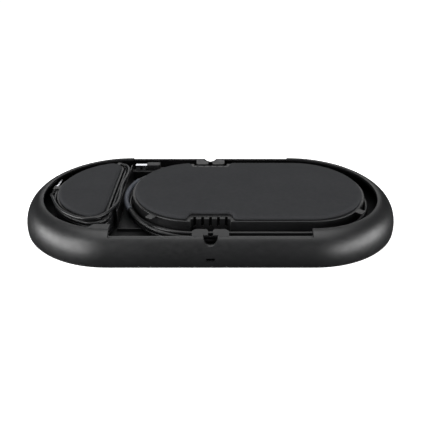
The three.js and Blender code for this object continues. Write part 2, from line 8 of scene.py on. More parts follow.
import bmesh
import bpy
import numpy as np
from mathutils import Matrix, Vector


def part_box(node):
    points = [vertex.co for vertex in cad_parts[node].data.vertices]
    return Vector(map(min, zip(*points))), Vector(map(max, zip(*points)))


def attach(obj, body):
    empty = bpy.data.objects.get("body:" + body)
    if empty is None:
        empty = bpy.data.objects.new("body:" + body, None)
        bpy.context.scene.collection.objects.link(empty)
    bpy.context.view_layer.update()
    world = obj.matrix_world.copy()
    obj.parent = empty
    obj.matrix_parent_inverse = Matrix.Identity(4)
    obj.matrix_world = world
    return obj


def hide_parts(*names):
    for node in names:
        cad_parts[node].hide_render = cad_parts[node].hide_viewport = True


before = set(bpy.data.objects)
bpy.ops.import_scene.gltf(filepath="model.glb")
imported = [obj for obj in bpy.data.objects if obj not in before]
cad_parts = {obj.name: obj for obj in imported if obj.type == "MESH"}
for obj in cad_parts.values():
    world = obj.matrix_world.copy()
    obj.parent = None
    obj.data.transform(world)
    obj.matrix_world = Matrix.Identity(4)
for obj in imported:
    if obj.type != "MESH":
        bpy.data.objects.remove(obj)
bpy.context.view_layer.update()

MM = 0.001


def box_mm(node):
    """Lowest and highest corner of a CAD node, in millimetres."""
    return [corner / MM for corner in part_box(node)]


def middle_of(node):
    """Middle of a CAD node in X and Y, in millimetres."""
    low, high = box_mm(node)
    return (low.x + high.x) / 2, (low.y + high.y) / 2


# ---- Driving dimensions, from the frame where it has them ----
shell_low, shell_high = box_mm("outer_shell")
BODY_RADIUS = shell_high.y
END_X = shell_high.x - BODY_RADIUS
SHELL_BOTTOM_Z = shell_low.z
RIM_Z = shell_high.z
WIDEST_Z = 2.4
RIM_RADIUS = 68
WALL = 2.2
LIP_Z = 22.4
LIP_END_X = 80.4
NOTCH_RADIUS = 5.9
NOTCH_Z = 23.5
HOOK_THICKNESS = 2.0
RIM_TOP_Z = RIM_Z - 0.02
LIP_FOOT = 0.9
LIP_CROWN = 0.4
GAP = 0.3
OVER = 1
SHARP = 0.01

COVER_TOP_Z = box_mm("top_cover")[0].z + 1.6
FLOOR_TOP_Z = 7.2
FLOOR_BOTTOM_Z = box_mm("cable_tray")[0].z
FLOOR_RADIUS = 81.2
PLATFORM_Z = 10.3
HUB_BOTTOM_Z = box_mm("large_hub")[0].z
LEDGE_Z = box_mm("large_hub")[1].z
HUB_PLATE = 2.4
HUB_EDGE = 0.65
LARGE_HUB_X = -13.7
LARGE_HUB_RADIUS = 57
COMB_HALF = 16.3
COMB_Y = 52.6
COMB_PITCH = 6.5
COMB_SLOT = 2.3
COMB_DEPTH = 3.2
COMB_HEIGHT = 8
SMALL_HUB_Y = 1.2
SMALL_HUB_RADIUS = 57.2
SMALL_HUB_FLAT_X = -86.3
SMALL_HUB_CORNER = 11
PAD_BOTTOM_Z = box_mm("large_foot_pad")[0].z
PAD_TOP_Z = box_mm("large_foot_pad")[1].z
LARGE_PAD_RADIUS = 54.7
SMALL_PAD_RADIUS = 55.6
SMALL_PAD_FLAT_X = -88.3
SCREW_SEAT_RADIUS = 3.2
SCREW_SEAT_DEPTH = 1.4
SCREW_HOLE_RADIUS = 1.7
POST_RADIUS = 3.5
PILOT_BOTTOM_Z = 12
KEY_FLANGE_REACH = 1.1
SPEAKER_HOLE_SHARE = 0.8
GRILLE_SEAT_Z = 0.9
COVER_SEAT_Z = 1.9

USB_DIAMETER = 0.0034
AUX_DIAMETER = 0.0028


# ---- Camera ----
def add_camera():
    place = (0, -0.38494, 0.22353)
    degrees_down = 29.77
    data = bpy.data.cameras.new("camera")
    data.lens = 40.43
    data.sensor_width = 36
    data.clip_start = 0.01
    data.clip_end = 50
    camera = bpy.data.objects.new("camera", data)
    camera.location = place
    camera.rotation_euler = (math.radians(90 - degrees_down), 0, 0)
    bpy.context.scene.collection.objects.link(camera)
    bpy.context.scene.camera = camera


add_camera()


# ---- Materials ----
PATCH_SIZE = 28  # millimetres, soft changes of tone
SMEAR_SIZE = 4  # millimetres, changes of gloss
GLOSS_SWING = 0.05


def surface(name, colour, roughness, metallic=0.0, specular=0.5, grain=0.35, depth=0.012,
            tone=0.12, coat=0.0):
    """A moulded, rolled or printed finish: fine grain as bump, soft changes of tone and gloss.

    grain is the size of the grain and depth its height, both in millimetres.
    """
    made = bpy.data.materials.new(name)
    made.use_nodes = True
    nodes, links = made.node_tree.nodes, made.node_tree.links
    shader = nodes["Principled BSDF"]
    shader.inputs["Metallic"].default_value = metallic
    shader.inputs["Specular IOR Level"].default_value = specular
    shader.inputs["Coat Weight"].default_value = coat
    place = nodes.new("ShaderNodeTexCoord")

    def noise(size, detail):
        texture = nodes.new("ShaderNodeTexNoise")
        texture.inputs["Scale"].default_value = 1 / (size * MM)
        texture.inputs["Detail"].default_value = detail
        links.new(place.outputs["Object"], texture.inputs["Vector"])
        return texture.outputs["Fac"]

    patches = noise(PATCH_SIZE, 2)
    tones = nodes.new("ShaderNodeValToRGB")
    dark = [c * (1 - tone) for c in colour]
    light = [min(1, c * (1 + tone)) for c in colour]
    tones.color_ramp.elements[0].position = 0.3
    tones.color_ramp.elements[0].color = (*dark, 1)
    tones.color_ramp.elements[1].position = 0.7
    tones.color_ramp.elements[1].color = (*light, 1)
    links.new(patches, tones.inputs["Fac"])
    links.new(tones.outputs["Color"], shader.inputs["Base Color"])

    gloss = nodes.new("ShaderNodeMapRange")
    gloss.inputs["From Min"].default_value = 0.25
    gloss.inputs["From Max"].default_value = 0.75
    gloss.inputs["To Min"].default_value = roughness - GLOSS_SWING
    gloss.inputs["To Max"].default_value = roughness + GLOSS_SWING
    links.new(noise(SMEAR_SIZE, 3), gloss.inputs["Value"])
    links.new(gloss.outputs["Result"], shader.inputs["Roughness"])

    bump = nodes.new("ShaderNodeBump")
    bump.inputs["Distance"].default_value = depth * MM
    bump.inputs["Strength"].default_value = 1
    links.new(noise(grain, 2), bump.inputs["Height"])
    links.new(bump.outputs["Normal"], shader.inputs["Normal"])
    return made


def printed_board(name):
    """Green solder mask with copper tracks that show as a finer, lighter pattern."""
    made = surface(name, (0.012, 0.075, 0.035), 0.4, grain=1.5, depth=0.03, coat=0.3)
    nodes, links = made.node_tree.nodes, made.node_tree.links
    shader = nodes["Principled BSDF"]
    place = nodes.new("ShaderNodeTexCoord")
    tracks = nodes.new("ShaderNodeTexBrick")
    tracks.inputs["Scale"].default_value = 260
    tracks.inputs["Color1"].default_value = (0.01, 0.06, 0.03, 1)
    tracks.inputs["Color2"].default_value = (0.014, 0.085, 0.04, 1)
    tracks.inputs["Mortar"].default_value = (0.03, 0.16, 0.06, 1)
    tracks.inputs["Mortar Size"].default_value = 0.03
    links.new(place.outputs["Object"], tracks.inputs["Vector"])
    links.new(tracks.outputs["Color"], shader.inputs["Base Color"])
    return made


SHELL = surface("shell_satin", (0.0085, 0.0087, 0.0092), 0.4, grain=0.3, depth=0.006)
COVER = surface("cover_satin", (0.008, 0.0082, 0.0088), 0.42, grain=0.3, depth=0.006)
TRAY = surface("tray_moulded", (0.0055, 0.0056, 0.006), 0.42, grain=0.5, depth=0.01)
HUB = surface("hub_moulded", (0.0065, 0.0066, 0.007), 0.38, grain=0.4, depth=0.008)
PAD = surface("foot_pad_rubber", (0.0275, 0.0282, 0.0302), 0.9, specular=0.15, grain=0.22,
              depth=0.02, tone=0.05)
LEAD = surface("lead_pvc", (0.008, 0.0082, 0.0088), 0.37, specular=0.45, grain=0.8, depth=0.012)
MOULDING = surface("plug_moulding", (0.01, 0.0102, 0.011), 0.45, grain=0.3, depth=0.012)
PLUG_METAL = surface("plug_nickel", (0.66, 0.67, 0.70), 0.22, metallic=1, grain=0.25, depth=0.002,
                     tone=0.04)
TONGUE = surface("plug_tongue", (0.012, 0.012, 0.013), 0.4)
TAG = surface("tag_paper", (0.05, 0.056, 0.07), 0.6, grain=0.35, depth=0.05, tone=0.4)
RUBBER = surface("grommet_rubber", (0.012, 0.012, 0.013), 0.7, grain=0.25, depth=0.015)
KEY = surface("key_rubber", (0.02, 0.0205, 0.022), 0.6, grain=0.25, depth=0.012)
GRILLE = surface("grille_paint", (0.012, 0.0122, 0.013), 0.5, metallic=0.2, grain=0.3, depth=0.01)
STEEL = surface("zinc_steel", (0.42, 0.43, 0.45), 0.35, metallic=1, grain=0.3, depth=0.006)
BLACKED = surface("blacked_steel", (0.03, 0.03, 0.032), 0.5, metallic=1, grain=0.3, depth=0.006)
FRAME = surface("speaker_frame_paint", (0.02, 0.02, 0.022), 0.5, metallic=0.3)
CONE = surface("speaker_cone_paper", (0.016, 0.016, 0.017), 0.85, grain=0.6, depth=0.05)
BOARD = printed_board("circuit_board")
CHIP = surface("chip_epoxy", (0.012, 0.012, 0.013), 0.6, grain=0.15, depth=0.008)
RIBBON = surface("ribbon_film", (0.3, 0.3, 0.32), 0.45, grain=1.0, depth=0.02)
LIGHT = surface("light_pipe", (0.55, 0.62, 0.66), 0.25, grain=1.0, depth=0.004)


# ---- Outlines, anticlockwise lists of (x, y) in millimetres ----
def arc(x, y, radius, start, end, steps):
    """Points from one angle to another, in degrees, both ends included."""
    angles = [math.radians(start + (end - start) * i / steps) for i in range(steps + 1)]
    return [(x + radius * math.cos(a), y + radius * math.sin(a)) for a in angles]


def circle(x, y, radius, points):
    return arc(x, y, radius, 0, 360 - 360 / points, points - 1)


def stadium(left, right, radius, steps=72):
    return arc(right, 0, radius, -90, 90, steps) + arc(left, 0, radius, 90, 270, steps)


def d_outline(radius, flat_x, corner, steps=64):
    """A large arc about the left end, a flat side towards +X and two round corners."""
    corner_x = flat_x - corner
    corner_y = math.sqrt((radius - corner) ** 2 - (corner_x + END_X) ** 2)
    turn = math.degrees(math.atan2(corner_y, corner_x + END_X))
    return (
        arc(corner_x, SMALL_HUB_Y + corner_y, corner, 0, turn, 14)[:-1]
        + arc(-END_X, SMALL_HUB_Y, radius, turn, 360 - turn, steps)[:-1]
        + arc(corner_x, SMALL_HUB_Y - corner_y, corner, -turn, 0, 14)
    )


def rounded(corners, steps=5):
    """Corners given as (x, y, radius), each radius made as an arc. Radius 0 keeps the point."""
    made = []
    for i, (x, y, radius) in enumerate(corners):
        here = np.array([x, y], float)
        before, after = np.array(corners[i - 1][:2]), np.array(corners[(i + 1) % len(corners)][:2])
        if radius == 0:
            made.append((x, y))
            continue
        u = (before - here) / np.linalg.norm(before - here)
        v = (after - here) / np.linalg.norm(after - here)
        half = math.acos(max(-1, min(1, float(u @ v)))) / 2
        centre = here + (u + v) / np.linalg.norm(u + v) * radius / math.sin(half)
        first = here + u * radius / math.tan(half) - centre
        last = here + v * radius / math.tan(half) - centre
        turn = math.pi - 2 * half
        for k in range(steps + 1):
            a, b = math.sin(turn * (1 - k / steps)), math.sin(turn * k / steps)
            made.append(tuple(centre + (first * a + last * b) / math.sin(turn)))
    return made


def inset(outline, distance):
    """The outline moved inwards."""
    points = np.array(outline, float)
    ahead = np.roll(points, -1, 0) - points
    normal = np.stack([-ahead[:, 1], ahead[:, 0]], 1) / np.linalg.norm(ahead, axis=1)[:, None]
    before = np.roll(normal, 1, 0)
    share = 1 + (normal * before).sum(1)
    return points + distance * (normal + before) / np.maximum(share, 0.3)[:, None]


# ---- Solids ----
def new_piece(name, points, faces):
    mesh = bpy.data.meshes.new(name)
    mesh.from_pydata([Vector(p) * MM for p in points], [], faces)
    piece = bpy.data.objects.new(name, mesh)
    bpy.context.scene.collection.objects.link(piece)
    return piece


def stack(name, rings):
    """A closed solid from rings of the same number of points, from the lowest to the highest."""
    count = len(rings[0])
    points = [p for ring in rings for p in ring]
    faces = [
        (level + i, level + (i + 1) % count, level + count + (i + 1) % count, level + count + i)
        for level in range(0, len(points) - count, count)
        for i in range(count)
    ]
    faces.append(tuple(reversed(range(count))))
    faces.append(tuple(range(len(points) - count, len(points))))
    return new_piece(name, points, faces)


def prism(name, outline, low, high, edge=0.3, foot=0.2, steps=3, turn=lambda p: p, drop=None):
    """An outline raised from low to high, with round edges at its top and its foot.

    The top edge is as high as it is wide, unless a drop is given for its height.
    """
    drop = edge if drop is None else drop
    rings = []
    for k in range(steps + 1):
        angle = math.pi / 2 * k / steps
        ring = inset(outline, foot * (1 - math.sin(angle)))
        rings.append([turn((x, y, low + foot * (1 - math.cos(angle)))) for x, y in ring])
    for k in range(steps + 1):
        angle = math.pi / 2 * k / steps
        ring = inset(outline, edge * (1 - math.cos(angle)))
        rings.append([turn((x, y, high - drop * (1 - math.sin(angle)))) for x, y in ring])
    return stack(name, rings)


def cutter(name, outline, low, high, turn=lambda p: p):
    """A prism to cut with, its edges as good as sharp."""
    return prism(name, outline, low, high, SHARP, SHARP, turn=turn)


def across_x(point):
    """Turns an outline in Y and Z, raised along X, upright."""
    return (point[2], point[0], point[1])


def across_y(point):
    """Turns an outline in Z and X, raised along Y, upright."""
    return (point[1], point[2], point[0])


def rectangle(low_x, high_x, low_y, high_y, radius, steps=5):
    return rounded([(low_x, low_y, radius), (high_x, low_y, radius),
                    (high_x, high_y, radius), (low_x, high_y, radius)], steps)


def turned(name, profile, place=(0, 0, 0), steps=40, turn=lambda p: p):
    """A turned solid: rings at [radius, height] about a Z axis, the ends closed."""
    rings = []
    for radius, height in profile:
        ring = circle(0, 0, radius, steps)
        rings.append([tuple(Vector(turn((x, y, height))) + Vector(place)) for x, y in ring])
    return stack(name, rings)


def join(pieces, name):
    """Several separate solids as one mesh."""
    mesh = bpy.data.meshes.new(name)
    whole = bmesh.new()
    for piece in pieces:
        whole.from_mesh(piece.data)
    whole.to_mesh(mesh)
    whole.free()
    for piece in pieces:
        bpy.data.objects.remove(piece)
    made = bpy.data.objects.new(name, mesh)
    bpy.context.scene.collection.objects.link(made)
    return made


def applied(piece):
    """The piece with its modifiers made into its mesh."""
    shown = piece.evaluated_get(bpy.context.evaluated_depsgraph_get())
    mesh = bpy.data.meshes.new_from_object(shown)
    piece.modifiers.clear()
    piece.data = mesh
    return piece


def combined(piece, others, operation):
    for other in others:
        step = piece.modifiers.new("combine", "BOOLEAN")
        step.operation = operation
        step.solver = "EXACT"
        step.object = other
        applied(piece)
        bpy.data.objects.remove(other)
    return piece


def cut(piece, *tools):
    return combined(piece, tools, "DIFFERENCE")


def union(piece, *others):
    return combined(piece, others, "UNION")


def tidy(piece):
    """Joins points that lie on each other and drops faces with no area."""
    mesh = bmesh.new()
    mesh.from_mesh(piece.data)
    bmesh.ops.remove_doubles(mesh, verts=mesh.verts, dist=0.002 * MM)
    bmesh.ops.dissolve_degenerate(mesh, edges=mesh.edges, dist=0.001 * MM)
    mesh.to_mesh(piece.data)
    mesh.free()
    return piece


def dress(piece, material, body="housing", replaces=(), smooth_below=38):
    """Gives a piece its material, smooth shading and its body, and hides the CAD nodes that it stands
    for.
    """
    piece.data.materials.clear()
    piece.data.materials.append(material)
    if piece.type == "MESH":
        for face in piece.data.polygons:
            face.use_smooth = True
        piece.data.set_sharp_from_angle(angle=math.radians(smooth_below))
        weights = piece.modifiers.new("weights", "WEIGHTED_NORMAL")
        weights.keep_sharp = True
        weights.weight = 60
    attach(piece, body)
    if replaces:
        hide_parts(*replaces)
    return piece


# ---- Leads: their routes come first, in metres ----
def smooth_route(points, step):
    """Points about a step apart on a centripetal Catmull-Rom curve through the given points."""
    given = [Vector(p) for p in points]
    padded = [2 * given[0] - given[1], *given, 2 * given[-1] - given[-2]]
    made = []
    for i in range(1, len(padded) - 2):
        p0, p1, p2, p3 = padded[i - 1:i + 3]
        t1 = (p1 - p0).length ** 0.5
        t2 = t1 + (p2 - p1).length ** 0.5
        t3 = t2 + (p3 - p2).length ** 0.5
        count = max(1, math.ceil((p2 - p1).length / step))
        for k in range(count):
            t = t1 + (t2 - t1) * k / count
            a1 = p0 * (t1 - t) / t1 + p1 * t / t1
            a2 = p1 * (t2 - t) / (t2 - t1) + p2 * (t - t1) / (t2 - t1)
            a3 = p2 * (t3 - t) / (t3 - t2) + p3 * (t - t2) / (t3 - t2)
            b1 = a1 * (t2 - t) / t2 + a2 * t / t2
            b2 = a2 * (t3 - t) / (t3 - t1) + a3 * (t - t1) / (t3 - t1)
            made.append(b1 * (t2 - t) / (t2 - t1) + b2 * (t - t1) / (t2 - t1))
    made.append(given[-1])
    return made


def strand(name, points, diameter):
    """A round lead along the points, as one open spline."""
    data = bpy.data.curves.new(name, "CURVE")
    data.dimensions = "3D"
    data.bevel_depth = diameter / 2
    data.bevel_resolution = 4
    data.use_fill_caps = True
    line = data.splines.new("POLY")
    line.points.add(len(points) - 1)
    for point, place in zip(line.points, points):
        point.co = (*place, 1)
    line.use_smooth = True
    piece = bpy.data.objects.new(name, data)
    bpy.context.scene.collection.objects.link(piece)
    return piece


USB_TURNS = 3
USB_PITCH = 0.0035
USB_LOW_Z = 0.0092
USB_RADIUS = 0.0597
USB_LEAD = [
    (-0.0434, 0.0657, 0.015), (-0.038, 0.0657, 0.0156), (-0.032, 0.0654, 0.017),
    (-0.026, 0.064, 0.0188), (-0.020, 0.062, 0.020), (-0.014, 0.0604, 0.0202),
    (-0.008, 0.0598, 0.0202), (0.002, 0.0597, 0.0202), (0.012, 0.0597, 0.0202),
]
# Where the middle turn swings out, through the tag: angle in degrees, radius, height.
USB_SWING = [
    (110, 0.0606, 0.0135), (130, 0.0632, 0.0175), (150, 0.0629, 0.0202), (170, 0.0628, 0.0203),
    (190, 0.0628, 0.0203), (208, 0.0629, 0.0202), (225, 0.0632, 0.0178), (240, 0.0624, 0.0152),
    (255, 0.0610, 0.0135),
]
USB_TAG_TURN = 1


def usb_route():
    """From the grommet at the back, three turns round the large hub, then the plug end."""
    left, right = LARGE_HUB_X * MM, END_X * MM
    low = USB_LOW_Z
    route = [(0.036, 0.0538, low + 0.0006), (0.031, 0.056, low + 0.0003), (0.026, 0.058, low),
             (0.019, 0.0593, low)]
    for turn in range(USB_TURNS):
        z = low + turn * USB_PITCH
        rise = USB_PITCH if turn < USB_TURNS - 1 else USB_LEAD[-1][2] - z
        route += [(x, USB_RADIUS, z) for x in (0.010, left / 2)]
        swing = USB_SWING if turn == USB_TAG_TURN else [
            (degrees, USB_RADIUS, z) for degrees in range(105, 256, 15)
        ]
        for degrees, radius, height in [(90, USB_RADIUS, z), *swing, (270, USB_RADIUS, z)]:
            angle = math.radians(degrees)
            route.append((left + radius * math.cos(angle), radius * math.sin(angle), height))
        route += [(x, -USB_RADIUS, z) for x in (0, 0.02, 0.04, 0.06)]
        for degrees in range(-90, 91, 15):
            angle = math.radians(degrees)
            route.append((right + USB_RADIUS * math.cos(angle), USB_RADIUS * math.sin(angle), z))
        route += [(x, USB_RADIUS, z + rise * share)
                  for x, share in ((0.070, 0.15), (0.058, 0.5), (0.046, 0.85), (0.034, 1))]
    return route + USB_LEAD[::-1]


AUX_TURNS = 5
AUX_PITCH = 0.0035
AUX_LOW_Z = 0.0089
AUX_OUT = 0.00175
AUX_LEAD = [
    (-0.0882, 0.0526, 0.0263), (-0.0842, 0.0502, 0.0263), (-0.0812, 0.044, 0.0263),
    (-0.0802, 0.0368, 0.0263), (-0.0804, 0.0266, 0.0263), (-0.0815, 0.0156, 0.0263),
    (-0.0818, 0.005, 0.0263), (-0.0811, -0.005, 0.0263), (-0.0802, -0.0194, 0.0263),
    (-0.0808, -0.028, 0.0263), (-0.0828, -0.0364, 0.0266), (-0.0852, -0.043, 0.027),
    (-0.0886, -0.0489, 0.02715), (-0.0941, -0.0534, 0.02715), (-0.1022, -0.0546, 0.02715),
    (-0.1082, -0.053, 0.02715), (-0.1139, -0.050, 0.02715), (-0.1198, -0.0458, 0.0272),
    (-0.1246, -0.041, 0.027), (-0.130, -0.0338, 0.0266), (-0.1349, -0.0254, 0.0263),
    (-0.1388, -0.0174, 0.0261), (-0.1425, -0.0102, 0.0251), (-0.1443, -0.0044, 0.0224),
    (-0.1449, -0.0012, 0.0209), (-0.1449, 0.0004, 0.0206),
]


def aux_route():
    """From the grommet on the flat side, five passes round the small hub, then the loose turn."""
    out = AUX_OUT / MM
    corner = SMALL_HUB_CORNER + out
    radius = SMALL_HUB_RADIUS + out
    corner_x = SMALL_HUB_FLAT_X - SMALL_HUB_CORNER
    corner_y = math.sqrt((radius - corner) ** 2 - (corner_x + END_X) ** 2)
    turn_angle = math.degrees(math.atan2(corner_y, corner_x + END_X))
    low = AUX_LOW_Z
    route = [(-0.0886, 0.0142, low + 0.0007), (-0.0868, 0.0104, low + 0.0004),
             (-0.0854, 0.006, low)]
    for turn in range(AUX_TURNS):
        z = (low + turn * AUX_PITCH) / MM
        last = turn == AUX_TURNS - 1
        front = arc(corner_x, SMALL_HUB_Y - corner_y, corner, 0, -turn_angle, 5)
        long_arc = arc(-END_X, SMALL_HUB_Y, radius, 360 - turn_angle, turn_angle, 10)[1:-1]
        back = arc(corner_x, SMALL_HUB_Y + corner_y, corner, turn_angle, 0, 5)
        flat = [(SMALL_HUB_FLAT_X + out, y) for y in (30, 15, 0, -15, -30)]
        level = [(x, y, z) for x, y in [*(flat[3:] if turn == 0 else flat), *front]]
        climb = 0 if last else AUX_PITCH / MM
        ramp = [0, 0, 0, 0, 0, 0.15, 0.5, 0.85]
        level += [(x, y, z + climb * share) for (x, y), share in zip(long_arc, ramp)]
        top = z + climb
        level += [(x, y, top) for x, y in (back[:2] if last else back)]
        route += [tuple(value * MM for value in point) for point in level]
    return route + [(-0.0932, 0.0567, 0.0234)] + AUX_LEAD


ROUTE_STEP = 0.0012
usb_line = smooth_route(usb_route(), ROUTE_STEP)
aux_line = smooth_route(aux_route(), ROUTE_STEP)
usb_lead = dress(strand("usb_lead_wound", usb_line, USB_DIAMETER), LEAD,
                 replaces=["usb_coil", "usb_lead"])
aux_lead = dress(strand("aux_lead_wound", aux_line, AUX_DIAMETER), LEAD,
                 replaces=["aux_coil", "aux_lead"])


# ---- Pieces on the leads ----
def usb_plug():
    low, high = box_mm("usb_plug_shell")
    sheet, outer_corner, inner_corner = 0.32, 0.55, 0.3
    middle_z = (low.z + high.z) / 2
    shell = prism("usb_plug_sleeve", rectangle(low.y, high.y, low.z, high.z, outer_corner),
                  low.x, high.x, 0.08, 0.12, turn=across_x)
    hollow = cutter(
        "hollow",
        rectangle(low.y + sheet, high.y - sheet, low.z + sheet, high.z - sheet, inner_corner),
        low.x - OVER, high.x - OVER, turn=across_x)
    window_half, window_offset, window_start, window_end = 1.05, 2.7, -72.8, -70.5
    windows = [
        cutter("window",
               rectangle(z - window_half, z + window_half, window_start, window_end, 0.15),
               low.y - OVER, high.y + OVER, turn=across_y)
        for z in (middle_z - window_offset, middle_z + window_offset)
    ]
    cut(shell, hollow, *windows)
    dress(shell, PLUG_METAL, replaces=["usb_plug_shell"])
    tongue_inset, side_gap = 1.2, 0.5
    tongue = prism(
        "usb_plug_tongue",
        rectangle(high.y - 2.3, high.y - 0.4, low.z + side_gap, high.z - side_gap, 0.2),
        low.x + tongue_inset, high.x - tongue_inset, 0.2, 0.1, turn=across_x)
    dress(tongue, TONGUE)

    low, high = box_mm("usb_plug_body")
    body = prism("usb_plug_moulding", rectangle(low.y, high.y, low.z, high.z, 1.6, 8),
                 low.x, high.x, 0.9, 0.5, 4, turn=across_x)
    rib_half, rib_width, rib_edge = 4.5, 0.7, 0.3
    ribs = [
        prism("rib",
              rectangle(middle_z - rib_half, middle_z + rib_half, x, x + rib_width, rib_edge),
              side_low, side_low + 1, rib_edge, rib_edge, turn=across_y)
        for x in (-60, -57.8, -55.6)
        for side_low in (low.y - 0.6, high.y - 0.4)
    ]
    cut(body, *ribs)
    dress(body, MOULDING, replaces=["usb_plug_body"])

    low, high = box_mm("usb_strain_relief")
    profile = [(0.6, low.x - 0.2), (2.9, low.x - 0.1)]
    rings, pitch, taper, waist = 5, 1.5, 0.2, 0.28
    for k in range(rings):
        start = low.x + 0.4 + pitch * k
        radius = 2.95 - taper * k
        profile += [(radius, start), (radius, start + 0.75), (radius - waist, start + 0.9),
                    (radius - waist - 0.04, start + 1.35)]
    profile += [(1.98, high.x - 0.1), (1.8, high.x)]
    relief = turned("usb_strain_relief_ribbed", profile,
                    (0, (low.y + high.y) / 2, (low.z + high.z) / 2), turn=across_x)
    dress(relief, MOULDING, replaces=["usb_strain_relief"])
    return [shell, tongue, body, relief]


def swept_band(name, line, half_wide, half_thick, degrees, steps=20):
    """A sleeve of oval section along a line, its long axis tilted about the line."""
    rings = []
    for i, place in enumerate(line):
        ahead = (line[min(i + 1, len(line) - 1)] - line[max(i - 1, 0)]).normalized()
        side = ahead.cross(Vector((0, 0, 1))).normalized()
        upward = side.cross(ahead)
        tilt = math.radians(degrees)
        first = side * math.cos(tilt) + upward * math.sin(tilt)
        second = ahead.cross(first)
        ring = []
        for k in range(steps):
            angle = 2 * math.pi * k / steps
            ring.append(tuple(place / MM + first * half_wide * math.cos(angle)
                              + second * half_thick * math.sin(angle)))
        rings.append(ring)
    return stack(name, rings)


def cable_tag():
    """A paper sleeve wrapped round the middle turn."""
    radius, z = 0.0628, 0.0203
    first_degrees, step_degrees, places = 152.5, 1.5, 37
    line = []
    for k in range(places):
        angle = math.radians(first_degrees + step_degrees * k)
        across, along = radius * math.cos(angle), radius * math.sin(angle)
        line.append(Vector((LARGE_HUB_X * MM + across, along, z)))
    tag = swept_band("cable_tag_sleeve", line, 2.28, 2.22, 35)
    return dress(tag, TAG, replaces=["cable_tag"])


def aux_plug():
    low, high = box_mm("aux_plug_boot")
    middle = ((low.x + high.x) / 2, 0, (low.z + high.z) / 2)
    profile = [(1.42, low.y), (1.6, low.y + 0.15)]
    rings, pitch, taper = 3, 1.3, 0.16
    for k in range(rings):
        start = low.y + 0.5 + pitch * k
        radius = 1.7 + taper * k
        profile += [(radius, start), (radius + 0.03, start + 0.65), (radius - 0.18, start + 0.8),
                    (radius - 0.15, start + 1.15)]
    profile += [(2.15, low.y + 4.6), (2.3, low.y + 5.2), (2.36, high.y - 0.5), (2.2, high.y)]
    boot = turned("aux_plug_moulding", profile, middle, turn=across_y)
    dress(boot, MOULDING, replaces=["aux_plug_boot"])

    low, high = box_mm("aux_plug_collar")
    collar = turned("aux_plug_ring", [
        (2.2, low.y), (2.36, low.y + 0.15), (2.36, low.y + 1.5), (2.2, low.y + 1.8),
        (2.15, high.y - 0.2), (1.95, high.y)], middle, turn=across_y)
    dress(collar, PLUG_METAL, replaces=["aux_plug_collar"])

    low, high = box_mm("aux_plug_pin")
    band_starts = [low.y + 3.2, low.y + 6.2, low.y + 9.2]
    band_length, pin_radius, groove_radius, band_radius = 0.7, 1.75, 1.65, 1.73
    profile = [(1.55, low.y), (pin_radius, low.y + 0.15)]
    for start in band_starts:
        end = start + band_length
        profile += [(pin_radius, start), (groove_radius, start + 0.02),
                    (groove_radius, end - 0.02), (pin_radius, end)]
    profile += [
        (pin_radius, low.y + 11), (1.35, low.y + 11.6), (1.45, low.y + 12.1),
        (1.7, low.y + 12.7), (1.6, low.y + 13.2), (1.15, low.y + 14.0), (0.7, low.y + 14.45),
        (0.25, high.y),
    ]
    pin = turned("aux_plug_contact", profile, middle, 48, turn=across_y)
    dress(pin, PLUG_METAL, replaces=["aux_plug_pin"])
    bands = join([
        turned("band", [
            (1.5, start + 0.04), (band_radius, start + 0.05),
            (band_radius, start + band_length - 0.05), (1.5, start + band_length - 0.04),
        ], middle, turn=across_y)
        for start in band_starts
    ], "aux_plug_insulators")
    dress(bands, TONGUE)
    return [boot, collar, pin, bands]


def grommet(node):
    low, high = box_mm(node)
    piece = prism(f"{node}_moulded", rectangle(low.x, high.x, low.y, high.y, 0.5),
                  low.z, high.z, 0.5, 0.3)
    return dress(piece, RUBBER, replaces=[node])


usb_pieces = [*usb_plug(), cable_tag(), grommet("usb_grommet")]
aux_pieces = [*aux_plug(), grommet("aux_grommet")]


# ---- Outer shell ----
def lip_height(x):
    """Height of the front and back walls: the lip, its round ends and the exit notch."""
    away = abs(x)
    foot, crown, rim = LIP_FOOT, LIP_CROWN, RIM_TOP_Z
    if away < NOTCH_RADIUS:
        return min(LIP_Z, NOTCH_Z - math.sqrt(NOTCH_RADIUS ** 2 - away ** 2))
    if away <= LIP_END_X - foot:
        return LIP_Z
    if away < LIP_END_X:
        return LIP_Z + foot - math.sqrt(foot ** 2 - (away - LIP_END_X + foot) ** 2)
    if away < LIP_END_X + crown:
        return rim - crown + math.sqrt(crown ** 2 - (LIP_END_X + crown - away) ** 2)
    return rim


def shell_profile(top):
    """The wall's section cut at a height, from its outer foot, over the top, to its inner foot."""
    reach, height = BODY_RADIUS - RIM_RADIUS, RIM_Z - WIDEST_Z
    inner_reach, inner_height = reach - WALL, height - WALL
    outer_end = math.asin(min(1, (top - WIDEST_Z) / height))
    ceiling = min(top - 0.01, WIDEST_Z + inner_height)
    inner_end = math.asin(min(1, (ceiling - WIDEST_Z) / inner_height))
    inner_top = RIM_RADIUS + inner_reach * math.cos(
        math.asin(min(1, (top - WIDEST_Z) / inner_height)))
    steps = 26
    outer = [(RIM_RADIUS + reach * math.cos(outer_end * i / steps),
              WIDEST_Z + height * math.sin(outer_end * i / steps), 0) for i in range(steps)]
    inner = [(RIM_RADIUS + inner_reach * math.cos(inner_end * i / steps),
              WIDEST_Z + inner_height * math.sin(inner_end * i / steps), 0)
             for i in range(steps, -1, -1)]
    outer_top = RIM_RADIUS + reach * math.cos(outer_end)
    corner = min(0.45, (outer_top - inner_top) * 0.5)
    slope = math.atan2(inner_height * math.cos(inner_end), inner_reach * math.sin(inner_end))
    edge = 0.4 if top > WIDEST_Z + inner_height else 0.28 * math.sin(slope) / math.sin(math.pi / 6)
    return rounded([
        (BODY_RADIUS, SHELL_BOTTOM_Z, 0.24), *outer, (outer_top, top, corner),
        (inner_top, top, min(edge, 0.28)), *inner, (BODY_RADIUS - WALL, SHELL_BOTTOM_Z, 0),
    ], 3)


